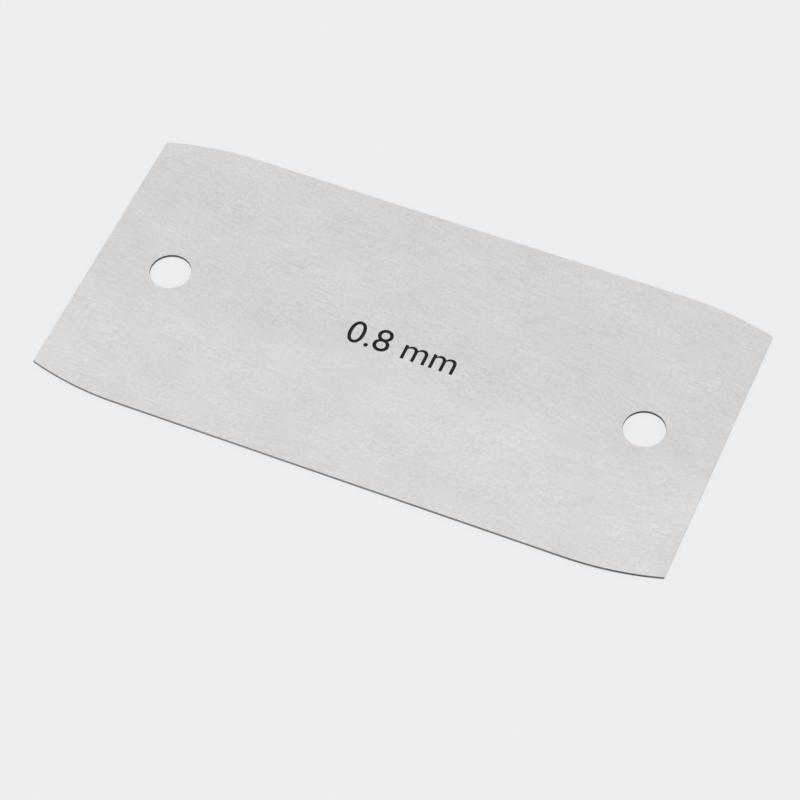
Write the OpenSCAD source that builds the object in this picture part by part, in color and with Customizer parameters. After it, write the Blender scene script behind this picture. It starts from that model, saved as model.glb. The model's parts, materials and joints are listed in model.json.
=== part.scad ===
/* [Sheet] */
// Length of the blade between its two short ends
blade_length = 152.4; // [90:0.1:300]
// Width of the blade across its two long working edges
blade_width = 76.2; // [40:0.1:120]
// Thickness of the sheet steel
sheet_thickness = 0.8128; // [0.4:0.0001:3]

/* [Corner relief] */
// Length of edge at each corner that curves back from the working edge
relief_run = 22; // [5:0.1:35]
// How far each corner stands back from the line of the working edge
relief_drop = 3.25; // [0.5:0.05:10]

/* [Holes] */
// Diameter of each of the two holes
hole_diameter = 9.7; // [4:0.05:16]
// Distance from a short end to the centre of the hole beside it
hole_inset = 17.78; // [12:0.01:30]
// Size of the small bevel that takes the burr off each rim of a hole
rim_bevel = 0.1; // [0.02:0.01:0.15]

/* [Hidden] */

// How far a cut runs past the face that it opens
overrun = 1;
// Radius of the arc that leaves the working edge as a tangent and ends at the corner
relief_radius = (relief_run * relief_run + relief_drop * relief_drop) / (2 * relief_drop);
// Length of each working edge that stays dead straight
straight_edge = blade_length - 2 * relief_run;
// Radius of each hole, and its distance from the middle of the blade
hole_radius = hole_diameter / 2;
hole_offset = blade_length / 2 - hole_inset;
// Sides of a circle in the preview, for the long relief arcs and for the holes
arc_sides = 720;
hole_sides = 96;

// Waste beyond the relief arc at the back right corner
module corner_waste() {
    difference() {
        translate([straight_edge / 2, blade_width / 2 - relief_drop - overrun])
            square([relief_run + overrun, relief_drop + 2 * overrun]);
        translate([straight_edge / 2, blade_width / 2 - relief_radius])
            circle(r = relief_radius, $fn = arc_sides);
    }
}

// Outline of the sheet: two straight working edges, relieved at all four corners
module blade_outline() {
    difference() {
        square([blade_length, blade_width], center = true);
        for (end = [0, 1])
            for (edge = [0, 1])
                mirror([end, 0])
                    mirror([0, edge])
                        corner_waste();
    }
}

// Cutter for a hole whose rims are bevelled on both faces, turned about the hole's axis
module deburred_hole() {
    mouth_radius = hole_radius + rim_bevel + overrun;
    rotate_extrude($fn = hole_sides)
        polygon([
            [0, -overrun],
            [mouth_radius, -overrun],
            [hole_radius, rim_bevel],
            [hole_radius, sheet_thickness - rim_bevel],
            [mouth_radius, sheet_thickness + overrun],
            [0, sheet_thickness + overrun]
        ]);
}

// The whole tool: one flat blade of spring-tempered sheet steel, lying on its lower face
module blade() {
    color([0.83, 0.83, 0.82])
        difference() {
            linear_extrude(height = sheet_thickness)
                blade_outline();
            for (side = [-1, 1])
                translate([side * hole_offset, 0])
                    deburred_hole();
        }
}

blade();
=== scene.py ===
import json
import math

import bmesh
import bpy
from mathutils import Euler, Matrix, Vector


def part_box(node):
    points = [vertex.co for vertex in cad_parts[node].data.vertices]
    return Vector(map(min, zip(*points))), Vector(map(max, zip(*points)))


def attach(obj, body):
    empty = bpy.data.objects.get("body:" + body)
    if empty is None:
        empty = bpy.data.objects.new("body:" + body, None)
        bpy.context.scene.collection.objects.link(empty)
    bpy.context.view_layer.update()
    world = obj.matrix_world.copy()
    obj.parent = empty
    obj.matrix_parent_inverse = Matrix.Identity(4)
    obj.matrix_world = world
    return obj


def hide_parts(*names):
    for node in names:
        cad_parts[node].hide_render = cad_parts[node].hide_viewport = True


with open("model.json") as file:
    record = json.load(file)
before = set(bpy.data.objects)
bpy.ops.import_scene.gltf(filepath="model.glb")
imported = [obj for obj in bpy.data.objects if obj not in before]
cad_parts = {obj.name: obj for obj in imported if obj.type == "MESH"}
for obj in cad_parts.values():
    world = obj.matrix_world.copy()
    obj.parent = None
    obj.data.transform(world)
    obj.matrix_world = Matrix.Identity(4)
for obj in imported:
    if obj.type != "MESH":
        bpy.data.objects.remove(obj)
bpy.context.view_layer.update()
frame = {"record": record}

# Blade: the whole tool, one piece of spring-tempered sheet steel, cut to its outline and punched
# near both ends. Its two long edges do the scraping, and each runs out in a long arc at both
# ends, so that no corner digs into the wood.
MM = 0.001
blade_low, blade_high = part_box("blade")
length, width, thickness = blade_high - blade_low
mounts = {mount["name"]: mount for mount in frame["record"]["mounts"]}
hole_radius = mounts["right_hole"]["dims"]["r_mm"] * MM
hole_offset = mounts["right_hole"]["pos_m"][0]
hole_sides = 96
relief_run = 22 * MM
relief_drop = 3.25 * MM
relief_radius = (relief_run ** 2 + relief_drop ** 2) / (2 * relief_drop)
relief_turn = math.asin(relief_run / relief_radius)
relief_steps = 24
rim_bevel = 0.1 * MM
edge_break = 0.06 * MM
hole_zone = 2 * hole_radius
smooth_under = math.radians(20)
near = 0.001 * MM


def middle(part):
    """The middle of a vertex, an edge or a face."""
    if isinstance(part, bmesh.types.BMVert):
        return part.co
    return sum((vertex.co for vertex in part.verts), Vector()) / len(part.verts)


def choose(kind, wanted):
    """Selects the vertices, edges or faces of the mesh in edit mode that wanted says yes to."""
    bpy.ops.mesh.select_mode(type=kind)
    bpy.ops.mesh.select_all(action="DESELECT")
    data = bpy.context.object.data
    mesh = bmesh.from_edit_mesh(data)
    for part in {"VERT": mesh.verts, "EDGE": mesh.edges, "FACE": mesh.faces}[kind]:
        if wanted(part, middle(part)):
            part.select_set(True)
    bmesh.update_edit_mesh(data)


# A quarter of the sheet starts as half of a hole's rim, and grows round it from both ends of that.
bpy.ops.object.select_all(action="DESELECT")
bpy.ops.mesh.primitive_circle_add(
    vertices=hole_sides, radius=hole_radius, location=(hole_offset, 0, blade_low.z))
blade = bpy.context.object
blade.name = blade.data.name = "scraper_blade"
bpy.ops.object.transform_apply(location=True)
bpy.ops.object.mode_set(mode="EDIT")
choose("VERT", lambda vertex, at: at.y < -near)
bpy.ops.mesh.delete(type="VERT")
arc_start = length / 2 - relief_run
choose("VERT", lambda vertex, at: abs(at.x - (hole_offset - hole_radius)) < near)
for run in ((hole_radius - hole_offset, 0, 0), (0, width / 2, 0), (arc_start, 0, 0)):
    bpy.ops.mesh.extrude_region_move(TRANSFORM_OT_translate={"value": run})
bpy.ops.mesh.spin(
    steps=relief_steps, angle=relief_turn, axis=(0, 0, 1),
    center=(arc_start, width / 2 - relief_radius, blade_low.z))
choose("VERT", lambda vertex, at: abs(at.x - (hole_offset + hole_radius)) < near)
for run in ((length / 2 - hole_offset - hole_radius, 0, 0), (0, width / 2 - relief_drop, 0)):
    bpy.ops.mesh.extrude_region_move(TRANSFORM_OT_translate={"value": run})
bpy.ops.mesh.select_all(action="SELECT")
bpy.ops.mesh.remove_doubles(threshold=near)
bpy.ops.mesh.edge_face_add()
bpy.ops.object.mode_set(mode="OBJECT")

# The other three quarters mirror it, and the whole sheet is raised to its thickness.
quarters = blade.modifiers.new("quarters", "MIRROR")
quarters.use_axis = (True, True, False)
quarters.merge_threshold = near
bpy.ops.object.modifier_apply(modifier=quarters.name)
bpy.ops.object.mode_set(mode="EDIT")
bpy.ops.mesh.select_all(action="SELECT")
bpy.ops.mesh.normals_make_consistent(inside=False)
bpy.ops.mesh.extrude_region_move(TRANSFORM_OT_translate={"value": (0, 0, thickness)})
bpy.ops.mesh.select_all(action="SELECT")
bpy.ops.mesh.normals_make_consistent(inside=False)


def from_hole(at):
    """How far a place is from the axis of the nearer hole."""
    return math.hypot(abs(at.x) - hole_offset, at.y)


def is_wall(face):
    """Whether a face stands up steeply, as the walls and the lower half of a bevel do."""
    return abs(face.normal.z) < 0.5


def is_rim(edge):
    """Whether an edge runs between a flat face and a wall."""
    return len({is_wall(face) for face in edge.link_faces}) == 2


# Both rims of each hole are deburred, and the outline has only its sharpness taken off.
choose("EDGE", lambda edge, at: is_rim(edge) and from_hole(at) < hole_radius + near)
bpy.ops.mesh.bevel(offset=rim_bevel, offset_type="OFFSET", segments=2, affect="EDGES")
choose("EDGE", lambda edge, at: is_rim(edge) and from_hole(at) > hole_zone)
bpy.ops.mesh.bevel(offset=edge_break, offset_type="OFFSET", segments=2, affect="EDGES")
bpy.ops.object.mode_set(mode="OBJECT")

# Thickness mark: the gauge of the sheet in plain figures, burned into the upper face by a laser.
# The burn leaves a very shallow recess, matt and nearly black.
mark_depth = 0.01 * MM
mark_height = 9 * MM
mark_reach = 20 * MM
bpy.ops.object.select_all(action="DESELECT")
bpy.ops.object.text_add()
figures = bpy.context.object
figures.data.body = "0.8 mm"
figures.data.size = mark_height
figures.data.align_x = "CENTER"
figures.data.align_y = "CENTER"
figures.data.extrude = mark_depth
bpy.ops.object.convert(target="MESH")
figures.location = (0, 0, blade_high.z)
bpy.ops.object.transform_apply(location=True)
bpy.ops.object.mode_set(mode="EDIT")
bpy.ops.mesh.select_all(action="SELECT")
bpy.ops.mesh.remove_doubles(threshold=near)
bpy.ops.mesh.normals_make_consistent(inside=False)
bpy.ops.object.mode_set(mode="OBJECT")

bpy.ops.object.select_all(action="DESELECT")
bpy.context.view_layer.objects.active = blade
blade.select_set(True)
burn = blade.modifiers.new("burn", "BOOLEAN")
burn.operation = "DIFFERENCE"
burn.solver = "EXACT"
burn.object = figures
bpy.ops.object.modifier_apply(modifier=burn.name)
bpy.data.objects.remove(figures)
bpy.ops.object.shade_smooth_by_angle(angle=smooth_under)

# Faces: spring steel ground on a fine belt, pale, satin and slightly warm. The belt leaves streaks
# along the blade. Its grit is 120 to 180, whose lines are about 0.1 mm wide, and they are drawn
# some five times as coarse, so that they show.


def linear(code):
    """An sRGB hex colour, such as "D4D3D1", as the linear colour that a shader takes."""
    shares = [int(code[place:place + 2], 16) / 255 for place in (0, 2, 4)]
    return [s / 12.92 if s <= 0.04045 else ((s + 0.055) / 1.055) ** 2.4 for s in shares] + [1]


def add(tree, kind, inputs=None, **settings):
    """Adds a node with its settings. An input is a plain value, or a socket to link from."""
    made = tree.nodes.new(kind)
    for name, value in settings.items():
        setattr(made, name, value)
    for name, value in (inputs or {}).items():
        if isinstance(value, bpy.types.NodeSocket):
            tree.links.new(value, made.inputs[name])
        else:
            made.inputs[name].default_value = value
    return made


def new_material(name):
    """An empty node material, its tree, and the socket of the object's own coordinates."""
    material = bpy.data.materials.new(name)
    material.use_nodes = True
    tree = material.node_tree
    tree.nodes.clear()
    return material, tree, add(tree, "ShaderNodeTexCoord").outputs["Object"]


def marks(tree, place, layers, tilt=0.0):
    """Sums layers of noise that waver about zero. A layer is the size of its marks along X, Y
    and Z in millimetres, its strength, and how much finer detail rides on it."""
    total = 0.0
    for size, strength, detail in layers:
        drawn_out = add(tree, "ShaderNodeMapping", {
            "Vector": place, "Rotation": (0, 0, tilt), "Scale": [reach * MM for reach in size],
        }, vector_type="TEXTURE")
        noise = add(tree, "ShaderNodeTexNoise", {
            "Vector": drawn_out.outputs[0], "Scale": 1.0, "Detail": detail, "Roughness": 0.5})
        centred = add(tree, "ShaderNodeMath", {
            0: noise.outputs["Fac"], 1: 0.5}, operation="SUBTRACT")
        total = add(tree, "ShaderNodeMath", {
            0: centred.outputs[0], 1: strength, 2: total}, operation="MULTIPLY_ADD").outputs[0]
    return total


def steel(tree, shade, dark, light, dull, bright, relief):
    """Bare steel. Where shade rises from -0.5 to 0.5, it goes from dark and dull to light and
    bright, and stands up by relief."""
    factor = add(tree, "ShaderNodeMapRange", {
        "Value": shade, "From Min": -0.5, "From Max": 0.5, "To Min": 0.0, "To Max": 1.0})
    colour = add(tree, "ShaderNodeMix", {
        "Factor": factor.outputs[0], "A": linear(dark), "B": linear(light)}, data_type="RGBA")
    rough = add(tree, "ShaderNodeMapRange", {
        "Value": shade, "From Min": -0.5, "From Max": 0.5, "To Min": dull, "To Max": bright})
    bump = add(tree, "ShaderNodeBump", {"Height": shade, "Strength": 1.0, "Distance": relief})
    surface = add(tree, "ShaderNodeBsdfPrincipled", {
        "Base Color": colour.outputs["Result"], "Metallic": 1.0, "Roughness": rough.outputs[0],
        "Normal": bump.outputs[0]})
    add(tree, "ShaderNodeOutputMaterial", {"Surface": surface.outputs[0]})


def lay_on(material, wanted):
    """Gives a material to the faces of the blade that wanted says yes to."""
    blade.data.materials.append(material)
    blade.active_material_index = len(blade.data.materials) - 1
    bpy.ops.object.mode_set(mode="EDIT")
    choose("FACE", wanted)
    bpy.ops.object.material_slot_assign()
    bpy.ops.object.mode_set(mode="OBJECT")


# The sheet took two passes side by side. The front one was fed at another slant, and is painted a
# shade lighter, a painted reflection of the soft light across that half. They meet in front of the
# middle, along a line that wanders.
back_ends = -3 * MM
front_starts = -12 * MM
front_sheen_by = 0.13
ground, tree, place = new_material("belt_ground_spring_steel")
wander = marks(tree, place, (((14.0, 30.0, 30.0), 14 * MM, 2.0),))
across = add(tree, "ShaderNodeSeparateXYZ", {"Vector": place}).outputs["Y"]
meeting = add(tree, "ShaderNodeMath", {0: across, 1: wander}, operation="ADD")
front_share = add(tree, "ShaderNodeMapRange", {
    "Value": meeting.outputs[0], "From Min": back_ends, "From Max": front_starts,
    "To Min": 0.0, "To Max": 1.0}, interpolation_type="SMOOTHSTEP").outputs[0]

# The streaks swerve a little as the sheet is fed, and bite deeper in some places than in others.
back_slant = math.radians(-8)
front_slant = math.radians(2)
streak_layers = (
    ((0.90, 0.70, 1.0), 0.63, 1.5),
    ((0.42, 0.32, 1.0), 0.34, 1.0),
    ((4.5, 0.75, 1.0), 0.38, 2.0),
    ((30.0, 0.35, 1.0), 0.12, 1.0),
)
drift = marks(tree, place, (((45.0, 30.0, 30.0), 8 * MM, 0.0),))
sideways = add(tree, "ShaderNodeCombineXYZ", {"Y": drift})
swerved = add(tree, "ShaderNodeVectorMath", {0: place, 1: sideways.outputs[0]}, operation="ADD")
streaks = add(tree, "ShaderNodeMix", {
    "Factor": front_share,
    "A": marks(tree, swerved.outputs[0], streak_layers, back_slant),
    "B": marks(tree, swerved.outputs[0], streak_layers, front_slant)}, data_type="FLOAT")
least_bite, most_bite = 0.55, 1.45
bite = add(tree, "ShaderNodeMapRange", {
    "Value": marks(tree, place, (((12.0, 7.0, 7.0), 1.0, 1.0),)),
    "From Min": -0.25, "From Max": 0.25, "To Min": least_bite, "To Max": most_bite})

# Soft clouds of the belt's pressure lie under the streaks.
clouds = marks(tree, place, (
    ((9.0, 6.0, 6.0), 0.26, 2.0),
    ((26.0, 16.0, 16.0), 0.36, 1.0),
), back_slant)
# Painted reflection: the front half is made a shade lighter, as if the soft light shone brighter
# there.
painted_front_sheen = add(tree, "ShaderNodeMath", {
    0: front_share, 1: front_sheen_by, 2: -front_sheen_by / 2}, operation="MULTIPLY_ADD")
uneven = add(tree, "ShaderNodeMath", {0: painted_front_sheen.outputs[0], 1: clouds}, operation="ADD")
shade = add(tree, "ShaderNodeMath", {
    0: streaks.outputs["Result"], 1: bite.outputs[0], 2: uneven.outputs[0]}, operation="MULTIPLY_ADD")
steel(tree, shade.outputs[0], "CBC9C6", "EDEBE7", dull=0.40, bright=0.28, relief=0.002 * MM)
lay_on(ground, lambda face, at: True)

# Working edges: drawn square on a file and a stone, lengthwise, in strokes 0.1 to 0.2 mm wide, and
# darker than the faces. Part of that darkness is painted shade, for these walls face away from the
# light. A painted shade also darkens them towards the right, darkest just short of the corner there.

# A tone is a place along the blade, from -1.0 to 1.0, and a level of painted shade, from -0.5, dark,
# to 0.5, light.
left_tone, right_tone = (-1.0, -0.04), (1.0, 0.04)
tones_between = ((0.05, 0.1), (0.2, 0.0), (0.58, -0.05), (0.87, -0.32), (0.92, -0.36))
filed, tree, place = new_material("filed_edge_painted_shade")
lines = marks(tree, place, (((5.0, 0.2, 0.12), 0.5, 2.0), ((30.0, 30.0, 30.0), 0.2, 1.0)))
along = add(tree, "ShaderNodeSeparateXYZ", {"Vector": place}).outputs["X"]
share = add(tree, "ShaderNodeMath", {0: along, 1: length / 2}, operation="DIVIDE")
# Painted shade along the edges: darker towards the right, darkest just short of the corner.
painted_edge_shade = add(tree, "ShaderNodeFloatCurve", {"Value": share.outputs[0]})
painted_edge_shade.mapping.clip_min_x = -1.0
painted_edge_shade.mapping.clip_min_y = -1.0
tone = painted_edge_shade.mapping.curves[0]
tone.points[0].location = left_tone
tone.points[1].location = right_tone
for at_share, level in tones_between:
    tone.points.new(at_share, level)
painted_edge_shade.mapping.update()
shade = add(tree, "ShaderNodeMath", {0: painted_edge_shade.outputs[0], 1: lines}, operation="ADD")
steel(tree, shade.outputs[0], "5B5A58", "A6A5A3", dull=0.45, bright=0.35, relief=0.004 * MM)
lay_on(filed, lambda face, at: is_wall(face) and from_hole(at) > hole_zone)

# Short ends: sheared, then ground across in strokes 0.2 mm wide. They are a little rougher and
# duller than the faces, and nearly as pale.
sheared, tree, place = new_material("sheared_steel_end")
lines = marks(tree, place, (((0.2, 3.0, 0.15), 0.6, 2.0), ((12.0, 12.0, 12.0), 0.4, 1.0)))
steel(tree, lines, "C4C3C0", "E0DFDC", dull=0.5, bright=0.4, relief=0.004 * MM)
lay_on(sheared, lambda face, at: is_wall(face) and length / 2 - abs(at.x) < edge_break)

# Hole walls: punched, so the metal is torn and dull, in fine strokes through the sheet. Their dark
# colour is partly painted shade of the hollow inside the hole. The strokes are drawn 0.3 mm wide,
# about twice as coarse as real ones.
punched, tree, place = new_material("punched_wall_painted_shade")
lines = marks(tree, place, (((0.3, 0.3, 4.0), 0.8, 2.0),))
steel(tree, lines, "504F4E", "6D6C6B", dull=0.6, bright=0.5, relief=0.006 * MM)
lay_on(punched, lambda face, at: is_wall(face) and from_hole(at) < hole_zone)

# Burned figures: a thin, sooty oxide, quite matt and nearly black. It is darkest where the laser's
# passes overlap, 0.15 mm apart.
burned, tree, place = new_material("laser_burned_oxide")
passes = marks(tree, place, (((1.2, 0.15, 1.0), 0.5, 2.0),))
factor = add(tree, "ShaderNodeMath", {0: passes, 1: 0.5}, operation="ADD")
colour = add(tree, "ShaderNodeMix", {
    "Factor": factor.outputs[0], "A": linear("0E0E0D"), "B": linear("201F1E")}, data_type="RGBA")
oxide = add(tree, "ShaderNodeBsdfPrincipled", {
    "Base Color": colour.outputs["Result"], "Metallic": 0.0, "Roughness": 0.7,
    "Specular IOR Level": 0.2})
add(tree, "ShaderNodeOutputMaterial", {"Surface": oxide.outputs[0]})
lay_on(burned, lambda face, at: abs(at.x) < mark_reach and abs(at.y) < mark_height
       and near < blade_high.z - at.z < mark_depth + near)

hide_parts("blade")
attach(blade, "root")

# Floor: a plain pale sheet of paper that the blade lies on. It shows mostly its own colour to the
# camera and in the steel, and keeps a faint shadow of the blade.
backdrop = "EDEEF0"
own_colour = 0.85
floor_size = 20
bpy.ops.object.select_all(action="DESELECT")
bpy.ops.mesh.primitive_plane_add(size=floor_size)
floor = bpy.context.object
floor.name = "floor"
paper, tree, place = new_material("pale_backdrop_paper")
path = add(tree, "ShaderNodeLightPath")
mirrored = add(tree, "ShaderNodeMath", {
    0: path.outputs["Is Glossy Ray"], 1: path.outputs["Is Transmission Ray"]}, operation="MAXIMUM")
seen = add(tree, "ShaderNodeMath", {
    0: path.outputs["Is Camera Ray"], 1: mirrored.outputs[0]}, operation="MAXIMUM")
evened = add(tree, "ShaderNodeMath", {0: seen.outputs[0], 1: own_colour}, operation="MULTIPLY")
matt = add(tree, "ShaderNodeBsdfDiffuse", {"Color": linear(backdrop)})
plain = add(tree, "ShaderNodeEmission", {"Color": linear(backdrop), "Strength": 1.0})
paper_mix = add(tree, "ShaderNodeMixShader", {
    0: evened.outputs[0], 1: matt.outputs[0], 2: plain.outputs[0]})
add(tree, "ShaderNodeOutputMaterial", {"Surface": paper_mix.outputs[0]})
floor.data.materials.append(paper)

# Studio: the room is the same all round, a shade paler than the floor, and lights the blade from
# every side. A very large soft key stands to the right.
room_colour = "F7F8FA"
room = bpy.data.worlds.new("studio")
bpy.context.scene.world = room
room.use_nodes = True
tree = room.node_tree
tree.nodes.clear()
walls = add(tree, "ShaderNodeBackground", {"Color": linear(room_colour), "Strength": 1.0})
add(tree, "ShaderNodeOutputWorld", {"Surface": walls.outputs[0]})

key_from = Vector((0.6, -0.1, 0.79))
bpy.ops.object.light_add(type="SUN", rotation=key_from.to_track_quat("Z", "Y").to_euler())
key = bpy.context.object
key.name = "key_light"
key.data.angle = math.radians(80)
key.data.energy = 0.3

# Camera: where the photograph was taken from, worked out from the blade's outline, its holes and
# the thickness that shows.
azimuth, elevation, roll = math.radians(25.236), math.radians(54.334), math.radians(-2.358)
distance = 712.26 * MM
looks_at = Vector((4.871 * MM, -12.886 * MM, 0))
sensor_width = 36
focal_pixels = 3177.2
frame_pixels = 800
turn = Euler((math.pi / 2 - elevation, 0, azimuth)).to_matrix() @ Matrix.Rotation(roll, 3, "Z")
bpy.ops.object.camera_add(
    location=looks_at + turn @ Vector((0, 0, distance)), rotation=turn.to_euler())
camera = bpy.context.object
camera.data.sensor_width = sensor_width
camera.data.lens = focal_pixels / frame_pixels * sensor_width
camera.data.clip_start = 10 * MM
bpy.context.scene.camera = camera
bpy.context.scene.view_settings.view_transform = "Standard"
